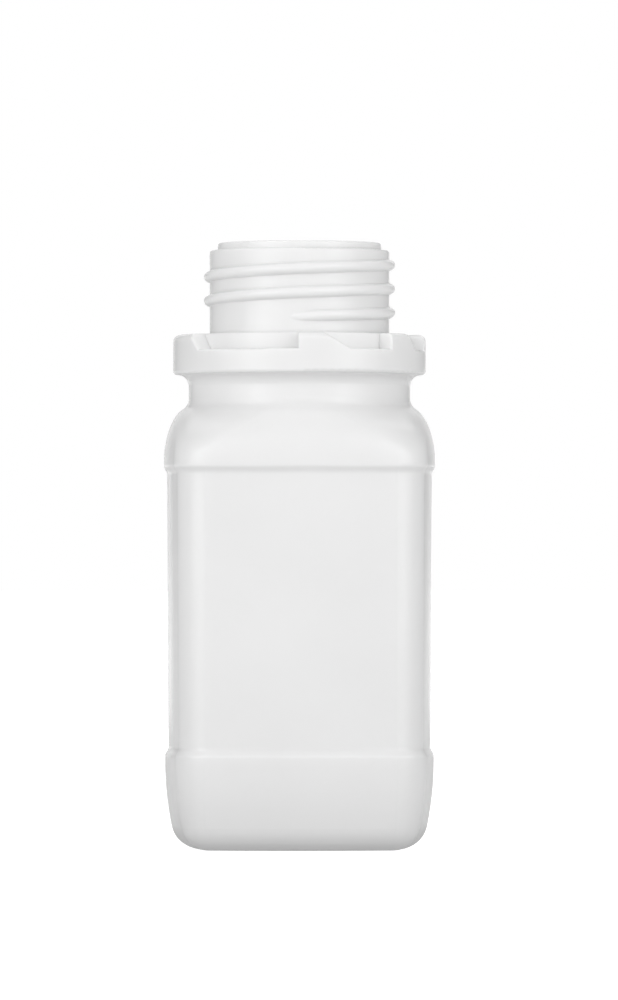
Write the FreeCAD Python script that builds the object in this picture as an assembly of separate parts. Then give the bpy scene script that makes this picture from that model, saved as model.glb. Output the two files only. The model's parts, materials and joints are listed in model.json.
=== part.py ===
import FreeCAD, Part
import math
import os

# Square wide-neck reagent bottle, moulded in white plastic, with its ratchet collar and neck thread.
# Its screw closure is taken off and stands mouth up behind it, as a lid is set down on a bench.
# Millimetres, +Z up. The origin is the middle of the standing base, and the front face looks to -Y.
# Angles round the neck are in degrees from the front, growing towards +X.

V = FreeCAD.Vector
ORIGIN = V(0, 0, 0)
UP = V(0, 0, 1)
ROOT_TWO = math.sqrt(2)
SAME_PLACE = 1e-4

# Body: its walls bow outwards a little in plan
BODY_WIDTH = 45.4
BODY_CORNER = 6.5
BODY_BOW = 12.0
BODY_WALL = 1.1
PANEL_INSET_TOP = 0.58
PANEL_INSET_FOOT = 0.85
BAND_INSET = 0.25
BAND_HEIGHT = 15.65
PANEL_HEIGHT = 47.2
SHOULDER_BAND = 0.5
FOOT_LEDGE = 1.05
TOP_LEDGE = 0.85
LEDGE_EDGE = 0.8
LEDGE_ROOT = 1.2

# Base
BASE_EDGE = 4.6
BASE_LEAN = 10.5
BASE_BEND_SHARE = 0.98
BASE_WALL = 1.4
PUSH_UP_DEPTH = 1.3
PUSH_UP_MARGIN = 1.6
PUSH_UP_CORNER = 5.0
PUSH_UP_SLOPE = 1.5

# Shoulder: rises from the square body to the round throat, and its corners draw in faster than its sides
SHOULDER_RISE = 9.6
SHOULDER_CROWN_INSET = 0.25
SHOULDER_JOIN = 74.0
SHOULDER_BOW = 22.5
SHOULDER_CORNER_FALL = 2.0
THROAT_DIAMETER = 37.0
THROAT_WALL = 1.6
THROAT_TOP = 79.25
UNDER_COLLAR_FILLET = 1.95

# Ratchet collar
COLLAR_DIAMETER = 42.2
COLLAR_HEIGHT = 6.6
COLLAR_LOWER_EDGE = 0.5
COLLAR_UPPER_EDGE = 1.1
TOOTH_HEIGHT = 2.7
TOOTH_WIDTH = 2.8
TOOTH_CORNER = 0.35
# Each tooth: the angle of its steep face, the width of its flat top, the width of its ramp.
# The row repeats on the other half of the collar.
TEETH = ((-97.0, 36.5, 6.5), (-1.5, 11.7, 13.0), (45.5, 13.5, 7.5))
HALF_TURN = 180.0

# Neck and mouth
NECK_DIAMETER = 30.0
NECK_LENGTH = 14.15
NECK_EDGE = 0.35
NECK_ROOT_FILLET = 0.4
LIP_DIAMETER = 27.3
LIP_HEIGHT = 1.25
LIP_EDGE = 0.3
LIP_ROOT = 0.15
MOUTH_DIAMETER = 25.0
MOUTH_FLARE = 4.5

# Thread: round single start, right hand
THREAD_DIAMETER = 32.0
THREAD_PITCH = 4.0
THREAD_CROWN = 0.8
THREAD_FLANK = 25.0
THREAD_SUNK = 0.6
THREAD_FIRST = -20.0
THREAD_LAST = 885.0
THREAD_FADE = 40.0
THREAD_STEP = 15.0
THREAD_START_HEIGHT = 2.75

# Closure
CAP_CLEARANCE = 0.35
CAP_WALL = 1.7
CAP_ROOF = 1.6
CAP_TOP_EDGE = 1.2
CAP_FLANGE = 1.5
CAP_FLANGE_EDGE = 0.4
CAP_FLANGE_ROOT = 0.6
CAP_INSET = 0.1
CAP_THREAD_FIRST = 120.0
CAP_THREAD_LAST = 690.0
RIB_COUNT = 72
RIB_RADIUS = 0.38
LINER_THICKNESS = 1.5
LINER_CLEARANCE = 0.3
LINER_BEAD_REACH = 0.6
LINER_BEAD_HEIGHT = 0.9
LINER_BEAD_TIP = 0.1
LINER_BEAD_GAP = 0.15
BAND_GAP = 0.25
BAND_RING_HEIGHT = 3.0
BAND_RING_WALL = 2.0
BAND_RING_EDGE = 0.25
BRIDGE_COUNT = 12
BRIDGE_HEIGHT = 0.6
BRIDGE_WIDTH = 0.9
PAWL_CLEARANCE = 0.4
PAWL_TOP = 3.5
PAWL_RAMP = 7.0
CLOSURE_GAP = 0.5

# Worked out from the sizes above
body_half = BODY_WIDTH / 2
body_core = body_half - BODY_CORNER
body_bow = math.radians(BODY_BOW)
bow_share = math.cos(body_bow) - math.sin(body_bow)
side_radius = (body_half - BODY_CORNER * bow_share) / (1 - bow_share)
corner_centre = (side_radius - BODY_CORNER) * math.sin(body_bow)
band_half = body_half - BAND_INSET
panel_foot = BAND_HEIGHT + FOOT_LEDGE
panel_top = panel_foot + PANEL_HEIGHT - FOOT_LEDGE
ledge_top = panel_top + TOP_LEDGE
shoulder_foot = ledge_top + SHOULDER_BAND
throat_radius = THROAT_DIAMETER / 2
collar_radius = COLLAR_DIAMETER / 2
collar_top = THROAT_TOP + COLLAR_HEIGHT
tooth_root = collar_radius - TOOTH_WIDTH
notch_floor = collar_top - TOOTH_HEIGHT
neck_radius = NECK_DIAMETER / 2
neck_top = collar_top + NECK_LENGTH
lip_radius = LIP_DIAMETER / 2
lip_top = neck_top + LIP_HEIGHT
mouth_radius = MOUTH_DIAMETER / 2
thread_crest = THREAD_DIAMETER / 2
thread_start = collar_top + THREAD_START_HEIGHT
cap_bore = thread_crest + CAP_CLEARANCE
cap_radius = cap_bore + CAP_WALL
flange_radius = collar_radius - CAP_INSET
band_foot = collar_top + BAND_GAP
band_top = band_foot + BAND_RING_HEIGHT
flange_foot = band_top + BRIDGE_HEIGHT
flange_top = flange_foot + CAP_FLANGE
liner_foot = lip_top
roof_under = liner_foot + LINER_THICKNESS
cap_top = roof_under + CAP_ROOF
liner_radius = cap_bore - LINER_CLEARANCE
closure_y = body_half + CLOSURE_GAP + flange_radius


# Shared builders

def rounded_outline(corners):
    """Closed wire in the XZ plane through (x, z, radius) corners, each rounded to its radius."""
    points = [V(x, 0, z) for x, z, _ in corners]
    bends = []
    for index, (_, _, radius) in enumerate(corners):
        here = points[index]
        if radius == 0:
            bends.append((here, None, here))
            continue
        back = (points[index - 1] - here).normalize()
        ahead = (points[(index + 1) % len(points)] - here).normalize()
        half_angle = back.getAngle(ahead) / 2
        reach = radius / math.tan(half_angle)
        inward = (back + ahead).normalize()
        middle = here + inward * (radius / math.sin(half_angle) - radius)
        bends.append((here + back * reach, middle, here + ahead * reach))
    edges = []
    for index, (start, middle, end) in enumerate(bends):
        if middle is not None:
            edges.append(Part.Arc(start, middle, end).toShape())
        following = bends[(index + 1) % len(bends)][0]
        if end.distanceToPoint(following) > SAME_PLACE:
            edges.append(Part.LineSegment(end, following).toShape())
    return Part.Wire(edges)


def turned(corners):
    """Solid of revolution about the bottle's axis."""
    return Part.Face(rounded_outline(corners)).revolve(ORIGIN, UP, 360)


def about_axis(shape, degrees):
    """Copy of a shape turned about the bottle's axis."""
    copy = shape.copy()
    copy.rotate(ORIGIN, UP, degrees)
    return copy


def swept_square(corners):
    """Solid whose upright outline runs round the body's plan: four bowed sides and four corner arcs.

    The outline's x is half the width at the middle of a side.
    """
    side_axis = V(body_half - side_radius, 0, 0)
    face = Part.Face(rounded_outline(corners))
    face.rotate(side_axis, UP, -BODY_BOW)
    side = face.revolve(side_axis, UP, 2 * BODY_BOW)
    face.rotate(side_axis, UP, 2 * BODY_BOW)
    corner = face.revolve(V(corner_centre, corner_centre, 0), UP, 90 - 2 * BODY_BOW)
    low = min(z for _, z, _ in corners)
    high = max(z for _, z, _ in corners)
    core_edge = Part.Arc(V(corner_centre, -corner_centre, low), V(body_core, 0, low),
                         V(corner_centre, corner_centre, low)).toShape()
    core_wire = Part.Wire([about_axis(core_edge, 90 * turn) for turn in range(4)])
    core = Part.Face(core_wire).extrude(V(0, 0, high - low))
    pieces = [about_axis(piece, 90 * turn) for turn in range(4) for piece in (side, corner)]
    return core.multiFuse(pieces).removeSplitter()


def bowed_square(half, diagonal, bow, z):
    """Plan outline between a rounded square (bow 0) and a circle: four sides and four corner arcs."""
    if bow == 0:
        reach = (diagonal - half) / (ROOT_TWO - 1)
        side_end = V(reach, half, z)
    else:
        share = (math.cos(bow) - math.sin(bow) - 1) / (ROOT_TWO * math.sin(bow))
        corner = (half + share * diagonal) / (1 + share)
        side = corner + (diagonal - corner) / (ROOT_TWO * math.sin(bow))
        side_end = V(side * math.sin(bow), half - side + side * math.cos(bow), z)
    side_start = V(-side_end.x, side_end.y, z)
    corner_middle = V(diagonal / ROOT_TWO, diagonal / ROOT_TWO, z)
    corner_end = V(side_end.y, side_end.x, z)
    if bow == 0:
        side_edge = Part.LineSegment(side_start, side_end).toShape()
    else:
        side_edge = Part.Arc(side_start, V(0, half, z), side_end).toShape()
    corner_edge = Part.Arc(side_end, corner_middle, corner_end).toShape()
    return Part.Wire([about_axis(edge, -90 * turn) for turn in range(4) for edge in (side_edge, corner_edge)])


def shoulder(half, corner, throat, foot, rise):
    """Solid from a rounded square up to a round throat, and the height where it ends."""
    crown = throat - SHOULDER_CROWN_INSET
    join = math.radians(SHOULDER_JOIN)
    corner_reach = corner_centre * ROOT_TWO + corner
    dome_steps = 8
    fillet_steps = 4
    profile = []
    for step in range(dome_steps + 1):
        angle = join * step / dome_steps
        profile.append((crown + (half - crown) * math.cos(angle), foot + rise * math.sin(angle)))
    join_half, join_z = profile[-1]
    slope = math.atan2((half - crown) * math.sin(join), rise * math.cos(join))
    fillet = (join_half - throat) / (1 - math.cos(slope))
    for step in range(1, fillet_steps + 1):
        angle = slope * (1 - step / fillet_steps)
        profile.append((throat + fillet * (1 - math.cos(angle)),
                        join_z + fillet * (math.sin(slope) - math.sin(angle))))
    sections = []
    for width, z in profile:
        squareness = (width - throat) / (half - throat)
        diagonal = throat + squareness ** SHOULDER_CORNER_FALL * (corner_reach - throat)
        bow = body_bow + (math.radians(SHOULDER_BOW) - body_bow) * (1 - squareness)
        sections.append(bowed_square(width, diagonal, bow, z))
    return Part.makeLoft(sections, True, False), profile[-1][1]


def thread_section(angle, z, root, crest, outward):
    """One radial slice of a round thread bead, sunk in its wall and pointing outward (1) or inward (-1)."""
    lean = math.radians(THREAD_FLANK)
    crown_r = crest - outward * THREAD_CROWN
    touch_r = crown_r + outward * THREAD_CROWN * math.sin(lean)
    touch_z = THREAD_CROWN * math.cos(lean)
    base_r = outward * min(outward * root, outward * crest) - outward * THREAD_SUNK
    base_z = touch_z + abs(touch_r - base_r) * math.tan(lean)
    turn = math.radians(angle - 90)

    def at(r, dz):
        return V(r * math.cos(turn), r * math.sin(turn), z + dz)

    corners = [at(base_r, -base_z), at(touch_r, -touch_z), at(touch_r, touch_z), at(base_r, base_z)]
    return Part.Wire([
        Part.LineSegment(corners[0], corners[1]).toShape(),
        Part.Arc(corners[1], at(crest, 0), corners[2]).toShape(),
        Part.LineSegment(corners[2], corners[3]).toShape(),
        Part.LineSegment(corners[3], corners[0]).toShape()])


def thread_bead(first, last, start_z, root, crest):
    """Helical bead that rises out of its wall over the fade angle and sinks back at its end."""
    count = round((last - first) / THREAD_STEP)
    outward = math.copysign(1, crest - root)
    sunk_crest = root - outward * THREAD_SUNK / 2
    sections = []
    for step in range(count + 1):
        angle = first + (last - first) * step / count
        near_end = min(angle - first, last - angle)
        rise = min(1.0, near_end / THREAD_FADE)
        eased = rise * rise * (3 - 2 * rise)
        height = sunk_crest + (crest - sunk_crest) * eased
        sections.append(thread_section(angle, start_z + THREAD_PITCH * angle / 360, root, height, outward))
    return Part.makeLoft(sections, True, False)


def ring_sector(inner, outer, low, high, first, last):
    """Part of a ring with a rectangular section, between two angles from the front."""
    outline = rounded_outline([(inner, low, 0), (outer, low, 0), (outer, high, 0), (inner, high, 0)])
    return about_axis(Part.Face(outline).revolve(ORIGIN, UP, last - first), first - 90)


def ramp(inner, outer, base_z, first, last, first_z, last_z):
    """Wedge on a ring between two angles, from base_z to a height that changes along it."""
    margin = outer - inner
    wires = []
    for angle, tip in ((first, first_z), (last, last_z)):
        outline = [(inner - margin, base_z, 0), (outer + margin, base_z, 0),
                   (outer + margin, tip, 0), (inner - margin, tip, 0)]
        wires.append(about_axis(rounded_outline(outline), angle - 90))
    low = min(base_z, first_z, last_z)
    high = max(base_z, first_z, last_z)
    ring = ring_sector(inner, outer, low, high, first, last)
    return Part.makeLoft(wires, True, True).common(ring)


def tooth_rows():
    """Every tooth round the collar, as the angles of its face, the end of its top and its ramp's foot."""
    rows = []
    for half in range(2):
        for face, top, slope in TEETH:
            start = face + HALF_TURN * half
            rows.append((start, start + top, start + top + slope))
    return rows


# Bottle

def body_outline(inset, low):
    """Upright outline of the square body, moved inwards by an inset, from its base to the shoulder."""
    edge = BASE_EDGE - inset
    lean = math.radians(BASE_LEAN)
    edge_reach = edge * math.tan((math.pi / 2 - lean) / 2)
    edge_top = low + edge_reach * math.cos(lean)
    bend_z = (BAND_HEIGHT + edge_top) / 2
    bend_radius = BASE_BEND_SHARE * (BAND_HEIGHT - LEDGE_EDGE - bend_z) / math.tan(lean / 2)
    base_half = band_half - inset - (bend_z - low) * math.tan(lean)
    return [
        (body_core, low, 0),
        (base_half, low, edge),
        (band_half - inset, bend_z, bend_radius),
        (band_half - inset, BAND_HEIGHT, LEDGE_EDGE),
        (body_half - PANEL_INSET_FOOT - inset, panel_foot, LEDGE_ROOT),
        (body_half - PANEL_INSET_TOP - inset, panel_top, LEDGE_ROOT),
        (body_half - inset, ledge_top, LEDGE_EDGE),
        (body_half - inset, shoulder_foot, 0),
        (body_core, shoulder_foot, 0)]


def push_up(grow, height):
    """Dished middle of the base: a low frustum with rounded corners."""
    half = body_core - PUSH_UP_MARGIN + grow
    sections = []
    for size, z in ((half, 0), (half - PUSH_UP_SLOPE, height)):
        corner = PUSH_UP_CORNER + grow
        diagonal = (size - corner) * ROOT_TWO + corner
        sections.append(bowed_square(size, diagonal, 0, z))
    return Part.makeLoft(sections, True, True)


def neck_outside(foot):
    """Throat, collar, neck and lip as one turned solid, with the thread and the ratchet teeth."""
    solid = turned([
        (0, foot, 0),
        (throat_radius, foot, 0),
        (throat_radius, THROAT_TOP, UNDER_COLLAR_FILLET),
        (collar_radius, THROAT_TOP, COLLAR_LOWER_EDGE),
        (collar_radius, collar_top, COLLAR_UPPER_EDGE),
        (neck_radius, collar_top, NECK_ROOT_FILLET),
        (neck_radius, neck_top, NECK_EDGE),
        (lip_radius, neck_top, LIP_ROOT),
        (lip_radius, lip_top, LIP_EDGE),
        (0, lip_top, 0)])
    rows = tooth_rows()
    cutter_reach = collar_radius + TOOTH_WIDTH
    cutter_top = collar_top + TOOTH_HEIGHT
    for index, (_, top_end, ramp_end) in enumerate(rows):
        next_face = rows[(index + 1) % len(rows)][0]
        if next_face < ramp_end:
            next_face += 2 * HALF_TURN
        notch = ring_sector(tooth_root, cutter_reach, notch_floor, cutter_top, ramp_end, next_face)
        slope = ramp(tooth_root, cutter_reach, cutter_top, top_end, ramp_end, collar_top, notch_floor)
        solid = solid.cut(notch.fuse(slope))
    solid = rounded_notches(solid)
    bead = thread_bead(THREAD_FIRST, THREAD_LAST, thread_start, neck_radius, thread_crest)
    return solid.fuse(bead)


def rounded_notches(solid):
    """Round the outer edges of the collar's notches: each floor, ramp and steep face."""
    edges = []
    for edge in solid.Edges:
        middle = edge.valueAt((edge.FirstParameter + edge.LastParameter) / 2)
        from_floor = abs(edge.BoundBox.ZMin - notch_floor) < SAME_PLACE
        if from_floor and abs(math.hypot(middle.x, middle.y) - collar_radius) < SAME_PLACE:
            edges.append(edge)
    return solid.makeFillet(TOOTH_CORNER, edges)


def bottle():
    """The moulded bottle: one hollow piece with an open mouth."""
    outer_body = swept_square(body_outline(0, 0)).cut(push_up(0, PUSH_UP_DEPTH))
    outer_shoulder, throat_foot = shoulder(body_half, BODY_CORNER, throat_radius,
                                           shoulder_foot, SHOULDER_RISE)
    outside = outer_body.fuse(outer_shoulder).fuse(neck_outside(throat_foot))
    inner_body = swept_square(body_outline(BODY_WALL, BASE_WALL))
    inner_body = inner_body.cut(push_up(BODY_WALL, PUSH_UP_DEPTH + BASE_WALL))
    inner_throat = throat_radius - THROAT_WALL
    inner_shoulder, bore_foot = shoulder(body_half - BODY_WALL, BODY_CORNER - BODY_WALL, inner_throat,
                                         shoulder_foot, SHOULDER_RISE - BODY_WALL)
    bore_start = collar_top - THROAT_WALL
    bore = turned([
        (0, bore_foot, 0),
        (inner_throat, bore_foot, 0),
        (inner_throat, bore_start - MOUTH_FLARE, THROAT_WALL),
        (mouth_radius, bore_start, THROAT_WALL),
        (mouth_radius, lip_top - LIP_EDGE, 0),
        (mouth_radius + 2 * LIP_EDGE, lip_top + LIP_EDGE, 0),
        (0, lip_top + LIP_EDGE, 0)])
    hollow = inner_body.fuse(inner_shoulder).fuse(bore)
    return outside.cut(hollow).removeSplitter()


# Closure, drawn as it sits when screwed down on the neck

def screw_cap():
    """Ribbed cap with a flange, an inner thread and a bead that keeps the liner in."""
    shell = turned([
        (0, roof_under, 0),
        (cap_bore, roof_under, 0),
        (cap_bore, flange_foot, 0),
        (flange_radius, flange_foot, CAP_FLANGE_EDGE),
        (flange_radius, flange_top, CAP_FLANGE_EDGE),
        (cap_radius, flange_top, CAP_FLANGE_ROOT),
        (cap_radius, cap_top, CAP_TOP_EDGE),
        (0, cap_top, 0)])
    bead_top = liner_foot - LINER_BEAD_GAP
    bead_wall = cap_bore + CAP_WALL / 2
    liner_bead = turned([
        (bead_wall, bead_top - LINER_BEAD_HEIGHT, 0),
        (cap_bore - LINER_BEAD_REACH, bead_top - LINER_BEAD_HEIGHT / 2, LINER_BEAD_TIP),
        (bead_wall, bead_top, 0)])
    cap_thread = thread_bead(CAP_THREAD_FIRST, CAP_THREAD_LAST, thread_start + THREAD_PITCH / 2,
                             cap_bore, neck_radius + CAP_CLEARANCE)
    rib_foot = flange_foot + CAP_FLANGE / 2
    rib_length = cap_top - CAP_TOP_EDGE - rib_foot
    rib = Part.makeCylinder(RIB_RADIUS, rib_length, V(cap_radius, 0, rib_foot))
    ribs = [about_axis(rib, 360 * count / RIB_COUNT) for count in range(RIB_COUNT)]
    return shell.multiFuse(ribs + [liner_bead, cap_thread]).removeSplitter()


def tamper_band():
    """Break-off ring with pawls that drop into the collar's notches and bridges up to the cap."""
    inner = flange_radius - BAND_RING_WALL
    ring = turned([
        (inner, band_foot, 0),
        (flange_radius, band_foot, BAND_RING_EDGE),
        (flange_radius, band_top, BAND_RING_EDGE),
        (inner, band_top, 0)])
    pawl_outer = flange_radius - PAWL_CLEARANCE
    pawl_tip = notch_floor + PAWL_CLEARANCE
    pieces = []
    for face, _, _ in tooth_rows():
        steep = face - math.degrees(PAWL_CLEARANCE / tooth_root)
        flat_start = steep - PAWL_TOP
        pieces.append(ring_sector(inner, pawl_outer, pawl_tip, band_top, flat_start, steep))
        ramp_start = flat_start - PAWL_RAMP
        pieces.append(ramp(inner, pawl_outer, band_top, ramp_start, flat_start, band_foot, pawl_tip))
    bridge_span = math.degrees(BRIDGE_WIDTH / flange_radius)
    for count in range(BRIDGE_COUNT):
        middle = 360 * count / BRIDGE_COUNT
        pieces.append(ring_sector(inner + BAND_RING_EDGE, flange_radius - BAND_RING_EDGE - CAP_FLANGE_EDGE,
                                  band_foot, flange_foot, middle - bridge_span / 2, middle + bridge_span / 2))
    return ring.multiFuse(pieces).removeSplitter()


def seal_liner():
    """Soft disc that seals the lip against the cap's roof."""
    return Part.makeCylinder(liner_radius, LINER_THICKNESS, V(0, 0, liner_foot))


def set_down(shape):
    """Turn a closure piece mouth up and stand it on the bench behind the bottle."""
    placed = shape.copy()
    placed.rotate(ORIGIN, V(1, 0, 0), 180)
    placed.translate(V(0, closure_y, cap_top))
    return placed


os.makedirs("parts", exist_ok=True)
bottle().exportStep("parts/bottle.step")
for build_piece in (screw_cap, tamper_band, seal_liner):
    set_down(build_piece()).exportStep("parts/" + build_piece.__name__ + ".step")
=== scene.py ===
import bmesh
import bpy
import json
import math
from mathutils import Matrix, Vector
from mathutils.bvhtree import BVHTree


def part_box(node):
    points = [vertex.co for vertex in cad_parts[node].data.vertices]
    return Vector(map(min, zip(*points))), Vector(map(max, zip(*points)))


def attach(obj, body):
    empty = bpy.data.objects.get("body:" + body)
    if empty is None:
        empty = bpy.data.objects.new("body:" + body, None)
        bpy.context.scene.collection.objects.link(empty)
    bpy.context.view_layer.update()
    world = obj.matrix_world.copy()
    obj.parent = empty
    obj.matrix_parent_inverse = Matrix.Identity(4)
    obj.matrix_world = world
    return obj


# White plastic reagent bottle on a pale floor in soft studio light, its closure set down behind it.
# Metres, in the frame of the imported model: +Z up, the front of the bottle looks to -Y.

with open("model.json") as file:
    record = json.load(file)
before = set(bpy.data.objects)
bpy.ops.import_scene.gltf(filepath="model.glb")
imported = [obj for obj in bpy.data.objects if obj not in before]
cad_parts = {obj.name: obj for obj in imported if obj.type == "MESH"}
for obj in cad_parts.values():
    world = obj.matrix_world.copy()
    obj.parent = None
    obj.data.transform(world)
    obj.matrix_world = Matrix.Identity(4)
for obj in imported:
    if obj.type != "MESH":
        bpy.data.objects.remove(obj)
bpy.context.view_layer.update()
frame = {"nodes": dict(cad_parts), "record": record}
nodes = frame["nodes"]

# Camera: a long lens, just below the middle of the bottle and a little left of its axis
CAMERA_PLACE = Vector((-0.022, -1.405, 0.045))
CAMERA_AIM = Vector((0.0016, 0.0, 0.05824))
CAMERA_NEAR = 0.01
CAMERA_FAR = 50.0
SENSOR_HEIGHT_MM = 24.0
LENS_MM = 201.3

# Materials: the part of a noise over which a ramp runs, and how evenly light of each colour sinks in
RAMP_START = 0.3
RAMP_END = 0.7
WHITE_SINKS = (1.0, 1.0, 1.0)
BOTTLE_SINKS = 0.75
BOTTLE_EDGE = 0.0003
SEAM_SINKS = 0.0
SEAM_EDGE = 0.00002

# Mould parting line: a fine ridge up both sides of the bottle and across its base
SEAM_WIDTH = 0.00022
SEAM_HEIGHT = 0.00006
SEAM_SUNK = 0.00004
SEAM_FLANK = 0.75
SEAM_HAIR = 0.000002
SEAM_STEP = 0.0002
SEAM_FOOT = 0.0009
SEAM_BELOW_LIP = 0.0005
BASE_SEAM_REACH = 0.0125
BASE_SEAM_WIDTH = 0.0005
BASE_SEAM_HEIGHT = 0.00018

# Floor: the painted glow that it gives the bottle in place of a real bounce, with painted shade where it
# is dimmer near the bottle than further out, and what the camera sees
FLOOR_HALF = 30.0
FLOOR_SHADE_REACH = 0.025
FLOOR_OPEN_REACH = 0.075
FLOOR_LIGHT_NEAR = 0.45
FLOOR_LIGHT_FAR = 0.65
FLOOR_GLOW = 0.9
FLOOR_PAPER = 0.5

# Light from all round: from the front, from behind, and the part of the way back where it changes
WORLD_FRONT = 0.4
WORLD_BACK = 0.3
WORLD_CHANGE_START = -0.2
WORLD_CHANGE_END = 0.6

# Softboxes: name, azimuth and elevation in degrees, width, height, radiance
LIGHT_AIM = Vector((0.0, 0.0, 0.05))
LIGHT_DISTANCE = 1.1
LIGHTS = (
    ("left_softbox", -48, 12, 1.1, 1.3, 1.25),
    ("right_softbox", 48, 12, 1.1, 1.3, 1.05),
    ("left_core", -46, 12, 0.4, 1.0, 1.05),
    ("right_core", 46, 12, 0.4, 1.0, 1.05),
    ("front_fill", 0, 12, 0.7, 1.0, 0.6),
    ("overhead", 0, 88, 1.3, 1.3, 0.3),
    ("back_glow", 180, 12, 0.7, 1.2, 0.52),
    ("back_high", 180, 52, 1.2, 0.7, 0.65),
)


def add_object(name, data):
    """New object with the given data, linked to the scene."""
    made = bpy.data.objects.new(name, data)
    bpy.context.scene.collection.objects.link(made)
    return made


def set_range(level, near, far, low, high):
    """Let a Map Range node go from low to high as its value goes from near to far."""
    for socket, value in (("From Min", near), ("From Max", far), ("To Min", low), ("To Max", high)):
        level.inputs[socket].default_value = value


def grey(value):
    return (value, value, value, 1.0)


# Materials

class Shader:
    """One procedural material under construction, with its Principled shader at hand."""

    def __init__(self, name):
        self.material = bpy.data.materials.new(name)
        self.material.use_nodes = True
        self.tree = self.material.node_tree
        self.surface = self.tree.nodes["Principled BSDF"]
        self.place = self.tree.nodes.new("ShaderNodeTexCoord").outputs["Object"]

    def set(self, **values):
        """Constant values on the shader's own sockets; underscores stand for spaces."""
        for name, value in values.items():
            self.surface.inputs[name.replace("_", " ")].default_value = value

    def sink(self, weight, scale):
        """Let a share of the light sink in, about this many metres deep."""
        self.set(Subsurface_Weight=weight, Subsurface_Scale=scale, Subsurface_Radius=WHITE_SINKS)

    def noise(self, feature, detail):
        """Noise whose features are about this many metres across."""
        texture = self.tree.nodes.new("ShaderNodeTexNoise")
        texture.inputs["Scale"].default_value = 1 / feature
        texture.inputs["Detail"].default_value = detail
        self.tree.links.new(self.place, texture.inputs["Vector"])
        return texture.outputs["Fac"]

    def cells(self, feature):
        """Distance to the nearest of scattered points, for foam."""
        texture = self.tree.nodes.new("ShaderNodeTexVoronoi")
        texture.inputs["Scale"].default_value = 1 / feature
        self.tree.links.new(self.place, texture.inputs["Vector"])
        return texture.outputs["Distance"]

    def ramp(self, factor, low, high):
        """A colour or a number that goes from low to high over the middle of a noise."""
        ramp = self.tree.nodes.new("ShaderNodeValToRGB")
        start, end = ramp.color_ramp.elements
        start.position = RAMP_START
        end.position = RAMP_END
        start.color = low
        end.color = high
        self.tree.links.new(factor, ramp.inputs["Fac"])
        return ramp.outputs["Color"]

    def between(self, factor, low, high):
        """A number that goes from low to high with a factor; low and high are numbers or outputs."""
        mix = self.tree.nodes.new("ShaderNodeMix")
        self.tree.links.new(factor, mix.inputs["Factor"])
        for socket, value in (("A", low), ("B", high)):
            if isinstance(value, bpy.types.NodeSocket):
                self.tree.links.new(value, mix.inputs[socket])
            else:
                mix.inputs[socket].default_value = value
        return mix.outputs["Result"]

    def from_origin(self, near, far, low, high):
        """A number that goes from low to high with the distance from the origin, from near to far."""
        reach = self.tree.nodes.new("ShaderNodeVectorMath")
        reach.operation = "LENGTH"
        self.tree.links.new(self.place, reach.inputs[0])
        level = self.tree.nodes.new("ShaderNodeMapRange")
        level.interpolation_type = "SMOOTHSTEP"
        set_range(level, near, far, low, high)
        self.tree.links.new(reach.outputs["Value"], level.inputs["Value"])
        return level.outputs["Result"]

    def link(self, output, socket):
        self.tree.links.new(output, self.surface.inputs[socket])

    def relief(self, layers, edge):
        """Edges rounded by a radius, and over them bump from layers of (height output, depth)."""
        bevel = self.tree.nodes.new("ShaderNodeBevel")
        bevel.inputs["Radius"].default_value = edge
        normal = bevel.outputs["Normal"]
        for height, depth in layers:
            bump = self.tree.nodes.new("ShaderNodeBump")
            bump.inputs["Distance"].default_value = depth
            self.tree.links.new(height, bump.inputs["Height"])
            self.tree.links.new(normal, bump.inputs["Normal"])
            normal = bump.outputs["Normal"]
        self.link(normal, "Normal")


def bottle_plastic(name, sinks, edge):
    """Satin white polyethylene that a share of the light sinks into, clouded and wavy a little."""
    shader = Shader(name)
    shader.set(IOR=1.5)
    shader.sink(weight=sinks, scale=0.0012)
    cloud = shader.noise(feature=0.018, detail=3.0)
    gloss = shader.noise(feature=0.006, detail=3.0)
    wave = shader.noise(feature=0.009, detail=1.0)
    shader.link(shader.ramp(cloud, grey(0.84), grey(0.86)), "Base Color")
    shader.link(shader.ramp(gloss, grey(0.19), grey(0.22)), "Roughness")
    shader.relief([(wave, 0.000012)], edge)
    return shader.material


def cap_plastic():
    """White polypropylene, a little glossier than the bottle."""
    shader = Shader("cap_plastic")
    shader.set(IOR=1.49)
    shader.sink(weight=0.4, scale=0.0008)
    cloud = shader.noise(feature=0.012, detail=3.0)
    gloss = shader.noise(feature=0.004, detail=3.0)
    shader.link(shader.ramp(cloud, grey(0.81), grey(0.84)), "Base Color")
    shader.link(shader.ramp(gloss, grey(0.16), grey(0.2)), "Roughness")
    shader.relief([(gloss, 0.000004)], edge=0.0002)
    return shader.material


def liner_foam():
    """Matt closed-cell polyethylene foam with fine round cells."""
    shader = Shader("liner_foam")
    shader.set(IOR=1.45)
    shader.sink(weight=0.3, scale=0.0006)
    cells = shader.cells(feature=0.0005)
    cloud = shader.noise(feature=0.006, detail=4.0)
    shader.link(shader.ramp(cloud, (0.8, 0.8, 0.78, 1.0), (0.85, 0.85, 0.835, 1.0)), "Base Color")
    shader.link(shader.ramp(cells, grey(0.62), grey(0.8)), "Roughness")
    shader.relief([(cells, 0.00006), (cloud, 0.00003)], edge=0.0003)
    return shader.material


def dress_nodes(finishes):
    """Give each model node the finish of its material slot."""
    for subpart in frame["record"]["subparts"]:
        node = nodes[subpart["node"]]
        node.data.materials.clear()
        node.data.materials.append(finishes[subpart["material_slot"]])


# Mould parting line

def surface_trace(tree, starts, direction):
    """Points and normals where rays from the start points meet the bottle's outer surface."""
    trace = []
    for start in starts:
        point, normal, _, _ = tree.ray_cast(start, direction)
        if point is not None:
            trace.append((point, normal))
    return trace


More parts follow.
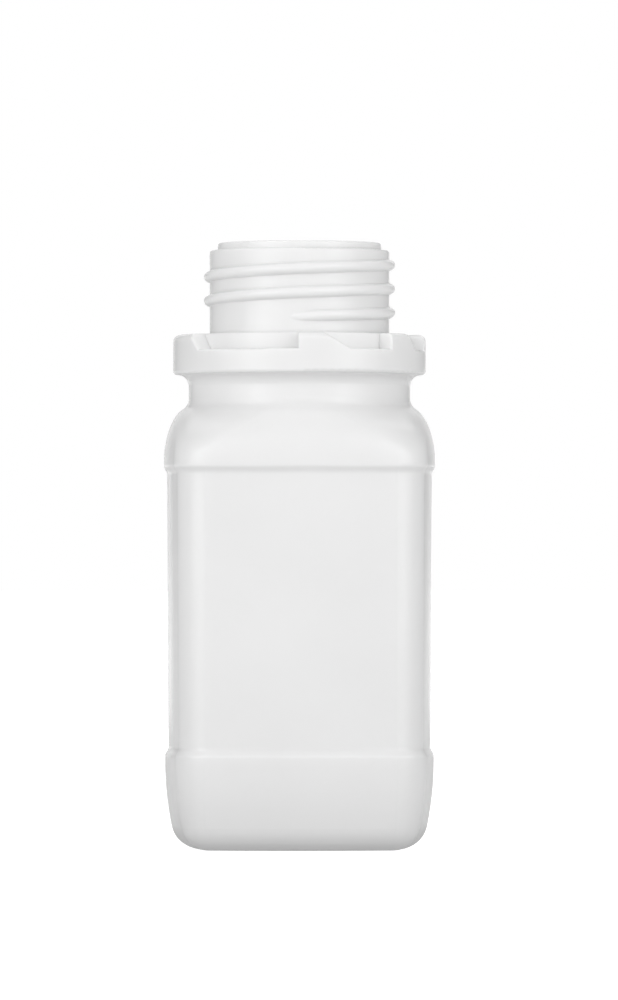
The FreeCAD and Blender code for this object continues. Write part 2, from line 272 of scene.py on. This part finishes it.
def ridge(name, trace, width, height, limit, material):
    """Closed low ridge along a trace in the plane y = 0.

    It dies out where the bottle reaches its limit in x."""
    flank = SEAM_FLANK * height
    profile = [(-1.0, -SEAM_SUNK), (-0.5, flank), (0.0, height), (0.5, flank), (1.0, -SEAM_SUNK)]
    mesh = bmesh.new()
    rings = []
    for point, normal in trace:
        outward = Vector((normal.x, 0.0, normal.z)).normalized()
        room = limit - abs(point.x) - SEAM_HAIR
        ring = []
        for side, rise in profile:
            across = Vector((0.0, side * width / 2, 0.0))
            ring.append(mesh.verts.new(point + outward * min(rise, room) + across))
        rings.append(ring)
    count = len(profile)
    for ring, following in zip(rings, rings[1:]):
        for corner in range(count):
            after = (corner + 1) % count
            mesh.faces.new((ring[corner], ring[after], following[after], following[corner]))
    mesh.faces.new(rings[0])
    mesh.faces.new(reversed(rings[-1]))
    bmesh.ops.recalc_face_normals(mesh, faces=mesh.faces)
    data = bpy.data.meshes.new(name)
    mesh.to_mesh(data)
    mesh.free()
    data.shade_smooth()
    data.materials.append(material)
    piece = add_object(name, data)
    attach(piece, "bottle")


def parting_line(material):
    """Ridges up both sides of the bottle and across its base, in the plane where the mould closed."""
    tree = BVHTree.FromObject(nodes["bottle"], bpy.context.evaluated_depsgraph_get())
    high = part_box("bottle")[1]
    far = 2 * high.x
    top = high.z - SEAM_BELOW_LIP
    steps = int((top - SEAM_FOOT) / SEAM_STEP)
    for side, name in ((-1, "parting_line_left"), (1, "parting_line_right")):
        starts = [Vector((side * far, 0.0, SEAM_FOOT + SEAM_STEP * step)) for step in range(steps + 1)]
        trace = surface_trace(tree, starts, Vector((-side, 0.0, 0.0)))
        ridge(name, trace, SEAM_WIDTH, SEAM_HEIGHT, high.x, material)
    steps = int(2 * BASE_SEAM_REACH / SEAM_STEP)
    starts = [Vector((SEAM_STEP * step - BASE_SEAM_REACH, 0.0, -far)) for step in range(steps + 1)]
    trace = surface_trace(tree, starts, Vector((0.0, 0.0, 1.0)))
    ridge("base_seam", trace, BASE_SEAM_WIDTH, BASE_SEAM_HEIGHT, high.x, material)


# Studio

def floor():
    """Wide pale floor: white to the camera with a faint contact shadow; to the bottle it is a painted
    glow, with painted shade close to the bottle.
    """
    mesh = bmesh.new()
    corners = ((-1, -1), (1, -1), (1, 1), (-1, 1))
    mesh.faces.new([mesh.verts.new((x * FLOOR_HALF, y * FLOOR_HALF, 0.0)) for x, y in corners])
    data = bpy.data.meshes.new("floor")
    mesh.to_mesh(data)
    mesh.free()
    shader = Shader("floor_paper")
    shader.set(Roughness=1.0, Specular_IOR_Level=0.0, Emission_Color=grey(1.0))
    seen = shader.tree.nodes.new("ShaderNodeLightPath").outputs["Is Camera Ray"]
    # Painted light: the floor glows to the bottle, dimmer close to the origin as painted shade where the
    # bottle would shade a real floor
    light = shader.from_origin(FLOOR_SHADE_REACH, FLOOR_OPEN_REACH, FLOOR_LIGHT_NEAR, FLOOR_LIGHT_FAR)
    shader.link(shader.between(seen, 0.0, FLOOR_PAPER), "Base Color")
    shader.link(shader.between(seen, light, FLOOR_GLOW), "Emission Strength")
    data.materials.append(shader.material)
    add_object("floor", data)


def softbox(name, azimuth, elevation, width, height, radiance):
    """Soft area light that looks at the bottle; azimuth 0 is the camera's side, growing to the right."""
    turn = math.radians(azimuth)
    rise = math.radians(elevation)
    level = math.cos(rise)
    away = Vector((math.sin(turn) * level, -math.cos(turn) * level, math.sin(rise)))
    light = bpy.data.lights.new(name, "AREA")
    light.shape = "RECTANGLE"
    light.size = width
    light.size_y = height
    light.energy = radiance * math.pi * width * height
    lamp = add_object(name, light)
    lamp.location = LIGHT_AIM + away * LIGHT_DISTANCE
    lamp.rotation_euler = away.to_track_quat("Z", "Y").to_euler()
    lamp.visible_camera = False


def studio_world():
    """Soft light from all round, dimmer from behind the bottle, and white to the camera."""
    world = bpy.data.worlds.new("studio")
    world.use_nodes = True
    tree = world.node_tree
    background = tree.nodes["Background"]
    background.inputs["Color"].default_value = grey(1.0)
    direction = tree.nodes.new("ShaderNodeTexCoord").outputs["Generated"]
    split = tree.nodes.new("ShaderNodeSeparateXYZ")
    tree.links.new(direction, split.inputs["Vector"])
    level = tree.nodes.new("ShaderNodeMapRange")
    set_range(level, WORLD_CHANGE_START, WORLD_CHANGE_END, WORLD_FRONT, WORLD_BACK)
    tree.links.new(split.outputs["Y"], level.inputs["Value"])
    seen = tree.nodes.new("ShaderNodeLightPath").outputs["Is Camera Ray"]
    shown = tree.nodes.new("ShaderNodeMix")
    tree.links.new(seen, shown.inputs["Factor"])
    tree.links.new(level.outputs["Result"], shown.inputs["A"])
    shown.inputs["B"].default_value = 1.0
    tree.links.new(shown.outputs["Result"], background.inputs["Strength"])
    bpy.context.scene.world = world


def camera():
    """The photograph's viewpoint: its frame is upright, so the lens is set by the frame's height."""
    lens = bpy.data.cameras.new("camera")
    lens.sensor_fit = "VERTICAL"
    lens.sensor_height = SENSOR_HEIGHT_MM
    lens.lens = LENS_MM
    lens.clip_start = CAMERA_NEAR
    lens.clip_end = CAMERA_FAR
    viewer = add_object("camera", lens)
    viewer.location = CAMERA_PLACE
    viewer.rotation_euler = (CAMERA_AIM - CAMERA_PLACE).to_track_quat("-Z", "Y").to_euler()
    bpy.context.scene.camera = viewer


dress_nodes({
    "bottle_plastic": bottle_plastic("bottle_plastic", BOTTLE_SINKS, BOTTLE_EDGE),
    "cap_plastic": cap_plastic(),
    "liner_foam": liner_foam(),
})
parting_line(bottle_plastic("seam_plastic", SEAM_SINKS, SEAM_EDGE))
floor()
studio_world()
for light in LIGHTS:
    softbox(*light)
camera()
bpy.context.scene.view_settings.view_transform = "Standard"
